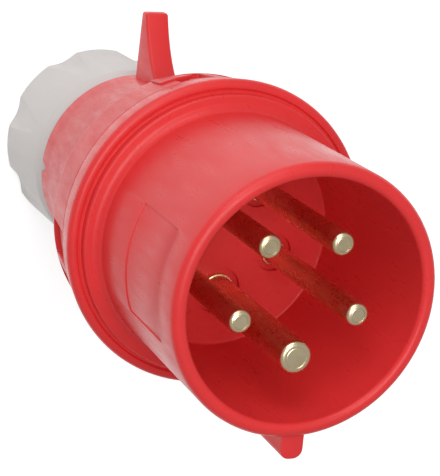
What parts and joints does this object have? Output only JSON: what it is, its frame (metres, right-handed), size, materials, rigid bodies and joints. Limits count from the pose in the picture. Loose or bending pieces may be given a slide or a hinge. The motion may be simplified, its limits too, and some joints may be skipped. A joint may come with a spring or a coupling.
{
  "type": "industrial pin and sleeve plug",
  "caption": "Round industrial power plug: keyed sleeve round its contact pins, stepped sealing flange, ribbed rear shell with a lid tab, and a scalloped cable gland nut.",
  "frame": {"origin": "on the plug's axis at the flat rear end of the gland nut, where the plug stands", "axes": "+Z runs out of the mouth of the sleeve, +Y points to the lid tab, opposite the key, +X completes a right-handed frame"},
  "size_m": [0.0702, 0.0764, 0.138],
  "materials": {
    "red_housing": "semi-gloss moulded polyamide",
    "red_shell": "semi-gloss moulded polyamide",
    "holder_plastic": "matt moulded",
    "pin_brass": "turned",
    "screw_steel": "zinc plated",
    "clamp_steel": "plain sheet",
    "grommet_rubber": "matt",
    "ring_plastic": "matt moulded",
    "nut_plastic": "satin moulded"
  },
  "bodies": {
    "front": {"sleeve_housing": "red_housing", "contact_holder": "holder_plastic", "pin_line_1": "pin_brass", "pin_line_2": "pin_brass", "pin_line_3": "pin_brass", "pin_neutral": "pin_brass", "pin_earth": "pin_brass", "terminal_screw_line_1": "screw_steel", "terminal_screw_line_2": "screw_steel", "terminal_screw_line_3": "screw_steel", "terminal_screw_neutral": "screw_steel", "terminal_screw_earth": "screw_steel", "wire_clamp_line_1": "clamp_steel", "wire_clamp_line_2": "clamp_steel", "wire_clamp_line_3": "clamp_steel", "wire_clamp_neutral": "clamp_steel", "wire_clamp_earth": "clamp_steel", "holder_screw_right": "screw_steel", "holder_screw_left": "screw_steel"},
    "shell": {"rear_shell": "red_shell", "sealing_grommet": "grommet_rubber", "pressure_ring": "ring_plastic"},
    "slip": {"slip_ring": "ring_plastic"},
    "nut": {"gland_nut": "nut_plastic"}
  },
  "joints": [
    {"name": "shell_twist", "type": "hinge", "parent": "front", "child": "shell", "pos_m": [0, 0, 0.0845], "axis": [0, 0, 1], "range_deg": [0, 25]},
    {"name": "slip_slide", "type": "slide", "parent": "shell", "child": "slip", "axis": [0, 0, -1], "range_m": [0, 0.0075]},
    {"name": "nut_turn", "type": "hinge", "parent": "slip", "child": "nut", "pos_m": [0, 0, 0], "axis": [0, 0, -1], "range_deg": [0, 900]}
  ],
  "couplings": [
    {"joint": "slip_slide", "follows": "nut_turn", "m_per_rad": 0.00047746}
  ]
}
